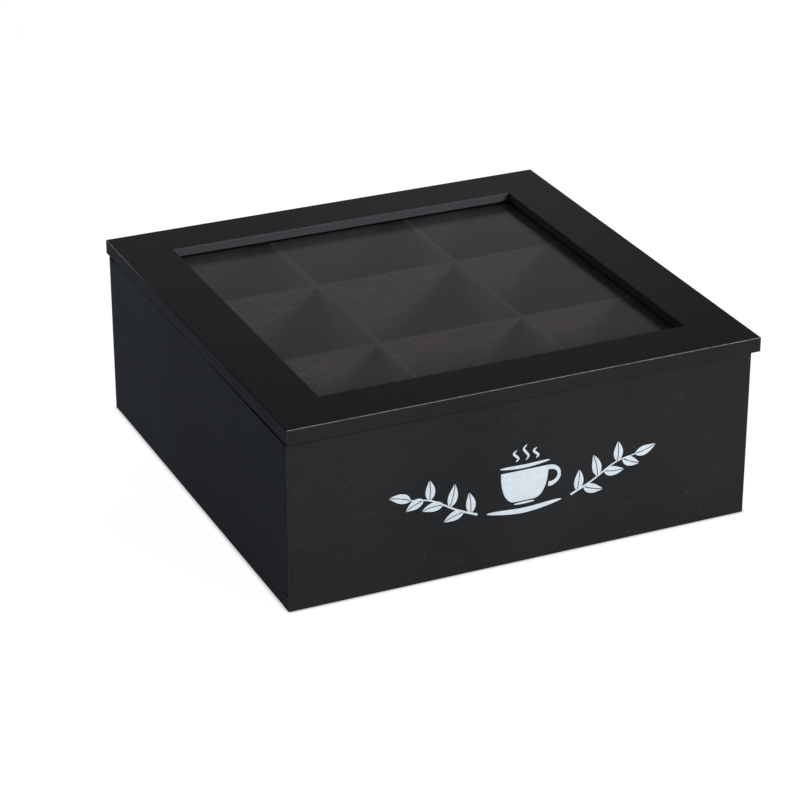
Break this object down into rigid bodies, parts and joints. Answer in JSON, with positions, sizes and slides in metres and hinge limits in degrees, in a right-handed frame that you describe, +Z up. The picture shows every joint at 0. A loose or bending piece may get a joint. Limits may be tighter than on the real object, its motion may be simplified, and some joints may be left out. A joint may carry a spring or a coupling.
{
  "type": "tea bag organizer box",
  "caption": "Square black painted wooden tea bag box: a grid of dividers inside, and a hinged framed lid with a clear window.",
  "frame": {"origin": "on the surface that the box stands on, under the middle of the closed lid, which is the bottom centre of the bounding box", "axes": "+X along the front from left to right, +Y from the front to the hinged back, +Z up"},
  "size_m": [0.235, 0.235, 0.09],
  "materials": {
    "black_painted_wood": "satin black paint over fine horizontal grain",
    "black_lid_paint": "smooth satin black paint, edges slightly rubbed",
    "black_interior_paint": "thin matte black paint over fine grain",
    "clear_glass": "polished",
    "plated_hinge_steel": "nickel plated, satin",
    "plated_screw_steel": "nickel plated, bright"
  },
  "bodies": {
    "box": {"base_panel": "black_interior_paint", "front_panel": "black_painted_wood", "back_panel": "black_painted_wood", "left_panel": "black_painted_wood", "right_panel": "black_painted_wood", "left_divider": "black_interior_paint", "right_divider": "black_interior_paint", "front_cross_divider": "black_interior_paint", "back_cross_divider": "black_interior_paint", "left_hinge_box_leaf": "plated_hinge_steel", "left_hinge_pin": "plated_hinge_steel", "left_hinge_box_screws": "plated_screw_steel", "right_hinge_box_leaf": "plated_hinge_steel", "right_hinge_pin": "plated_hinge_steel", "right_hinge_box_screws": "plated_screw_steel"},
    "lid": {"lid_front_rail": "black_lid_paint", "lid_back_rail": "black_lid_paint", "lid_left_rail": "black_lid_paint", "lid_right_rail": "black_lid_paint", "window_pane": "clear_glass", "left_hinge_lid_leaf": "plated_hinge_steel", "left_hinge_lid_screws": "plated_screw_steel", "right_hinge_lid_leaf": "plated_hinge_steel", "right_hinge_lid_screws": "plated_screw_steel"}
  },
  "joints": [
    {"name": "lid_hinge", "type": "hinge", "parent": "box", "child": "lid", "pos_m": [0, 0.1145, 0.08255], "axis": [-1, 0, 0], "range_deg": [0, 103]}
  ]
}
